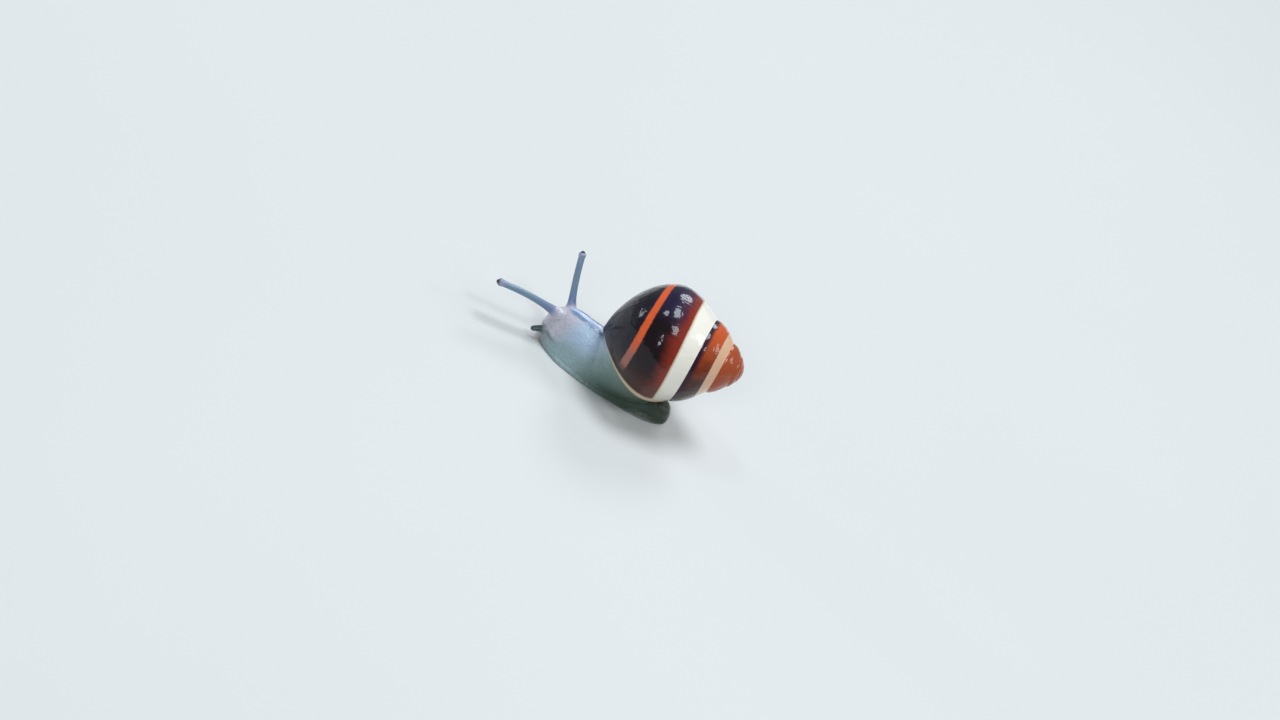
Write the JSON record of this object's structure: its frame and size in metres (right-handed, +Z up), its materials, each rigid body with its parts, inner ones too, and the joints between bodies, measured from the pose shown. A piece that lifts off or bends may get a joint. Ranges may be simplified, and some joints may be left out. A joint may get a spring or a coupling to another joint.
{
  "type": "tree snail",
  "caption": "Life-size still model of a crawling tree snail: a glossy left-handed spiral shell with light bands, a soft flat-soled foot, and outstretched eye stalks.",
  "frame": {"origin": "middle of the flat sole of the foot, at the level it rests on", "axes": "-X forwards along the crawl, -Y to the animal's left, +Z up; -Z out of the sole"},
  "size_m": [0.0214, 0.01, 0.0113],
  "materials": {
    "polished_shell": "polished dark brown shell with white, cream and orange bands",
    "head_skin": "moist pinkish grey skin, finely grained",
    "back_skin": "moist slate grey skin, finely grained",
    "foot_skin": "moist translucent grey-green skin",
    "feeler_skin": "moist slate blue skin",
    "eye_black": "wet black"
  },
  "bodies": {
    "root": {"shell": "polished_shell", "head": "head_skin", "neck": "back_skin", "mantle": "back_skin", "foot_front": "foot_skin", "foot_middle": "foot_skin", "tail": "foot_skin", "eye_stalk_lower_left": "feeler_skin", "eye_stalk_upper_left": "feeler_skin", "eye_stalk_lower_right": "feeler_skin", "eye_stalk_upper_right": "feeler_skin", "lower_feeler_left": "feeler_skin", "lower_feeler_right": "feeler_skin", "eye_left": "eye_black", "eye_right": "eye_black"}
  },
  "joints": []
}
